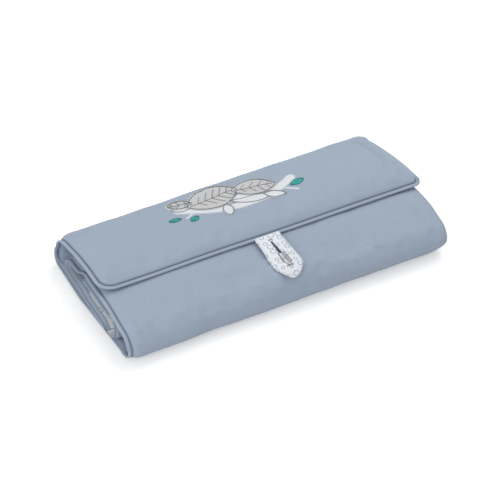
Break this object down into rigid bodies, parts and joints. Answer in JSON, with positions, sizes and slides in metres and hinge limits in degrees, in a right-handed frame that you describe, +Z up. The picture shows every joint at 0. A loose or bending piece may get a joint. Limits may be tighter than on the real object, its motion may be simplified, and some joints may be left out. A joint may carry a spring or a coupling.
{
  "type": "changing pad",
  "caption": "Padded travel changing mat folded into a flat roll, closed by a front flap with a pointed tape loop over a button.",
  "frame": {"origin": "on the floor, under the middle of the folded mat's box", "axes": "+X along the roll to the viewer's right, +Y towards the back fold, +Z up"},
  "size_m": [0.406, 0.2, 0.0526],
  "materials": {
    "outer_cloth": "fine woven cotton, blue-grey",
    "wadding": "soft polyester wadding",
    "lining": "white cotton with a grey printed line pattern",
    "loop_tape": "white cotton with a grey printed line pattern",
    "button": "satin",
    "thread": "sewing thread",
    "white_patch": "white cotton with satin stitching",
    "grey_patch": "light grey cotton with satin stitching",
    "green_patch": "teal green embroidery"
  },
  "bodies": {
    "mat": {"bottom_outer_cloth": "outer_cloth", "bottom_wadding": "wadding", "bottom_lining": "lining", "front_fold_outer_cloth": "outer_cloth", "front_fold_wadding": "wadding", "front_fold_lining": "lining", "upper_outer_cloth": "outer_cloth", "upper_wadding": "wadding", "upper_lining": "lining", "rear_turn_outer_cloth": "outer_cloth", "rear_turn_wadding": "wadding", "rear_turn_lining": "lining", "inner_lower_outer_cloth": "outer_cloth", "inner_lower_wadding": "wadding", "inner_lower_lining": "lining", "front_turn_outer_cloth": "outer_cloth", "front_turn_wadding": "wadding", "front_turn_lining": "lining", "inner_upper_outer_cloth": "outer_cloth", "inner_upper_wadding": "wadding", "inner_upper_lining": "lining", "lower_back_bend_outer_cloth": "outer_cloth", "lower_back_bend_wadding": "wadding", "lower_back_bend_lining": "lining", "button": "button", "button_thread": "thread"},
    "back_panel": {"back_panel_outer_cloth": "outer_cloth", "back_panel_wadding": "wadding", "back_panel_lining": "lining", "upper_back_bend_outer_cloth": "outer_cloth", "upper_back_bend_wadding": "wadding", "upper_back_bend_lining": "lining"},
    "flap": {"flap_outer_cloth": "outer_cloth", "flap_wadding": "wadding", "flap_lining": "lining", "loop_sewn_end": "loop_tape", "loop_crease": "loop_tape", "branch_patch": "white_patch", "twig_patches": "white_patch", "grey_leaf_patches": "grey_patch", "pale_leaf_patches": "white_patch", "green_leaf_patches": "green_patch"},
    "loop": {"loop_left_leg": "loop_tape", "loop_right_leg": "loop_tape", "loop_tip": "loop_tape"}
  },
  "joints": [
    {"name": "lower_back_fold", "type": "hinge", "parent": "mat", "child": "back_panel", "pos_m": [0, 0.09303, 0.00697], "axis": [-1, 0, 0], "range_deg": [0, 90], "deforming": ["lower_back_bend_outer_cloth", "lower_back_bend_wadding", "lower_back_bend_lining"]},
    {"name": "upper_back_fold", "type": "hinge", "parent": "back_panel", "child": "flap", "pos_m": [0, 0.09303, 0.04503], "axis": [-1, 0, 0], "range_deg": [0, 90], "deforming": ["upper_back_bend_outer_cloth", "upper_back_bend_wadding", "upper_back_bend_lining"]},
    {"name": "loop_lift", "type": "hinge", "parent": "flap", "child": "loop", "pos_m": [0.003, -0.027, 0.0508], "axis": [-1, 0, 0], "range_deg": [0, 150], "deforming": ["loop_crease"]}
  ]
}
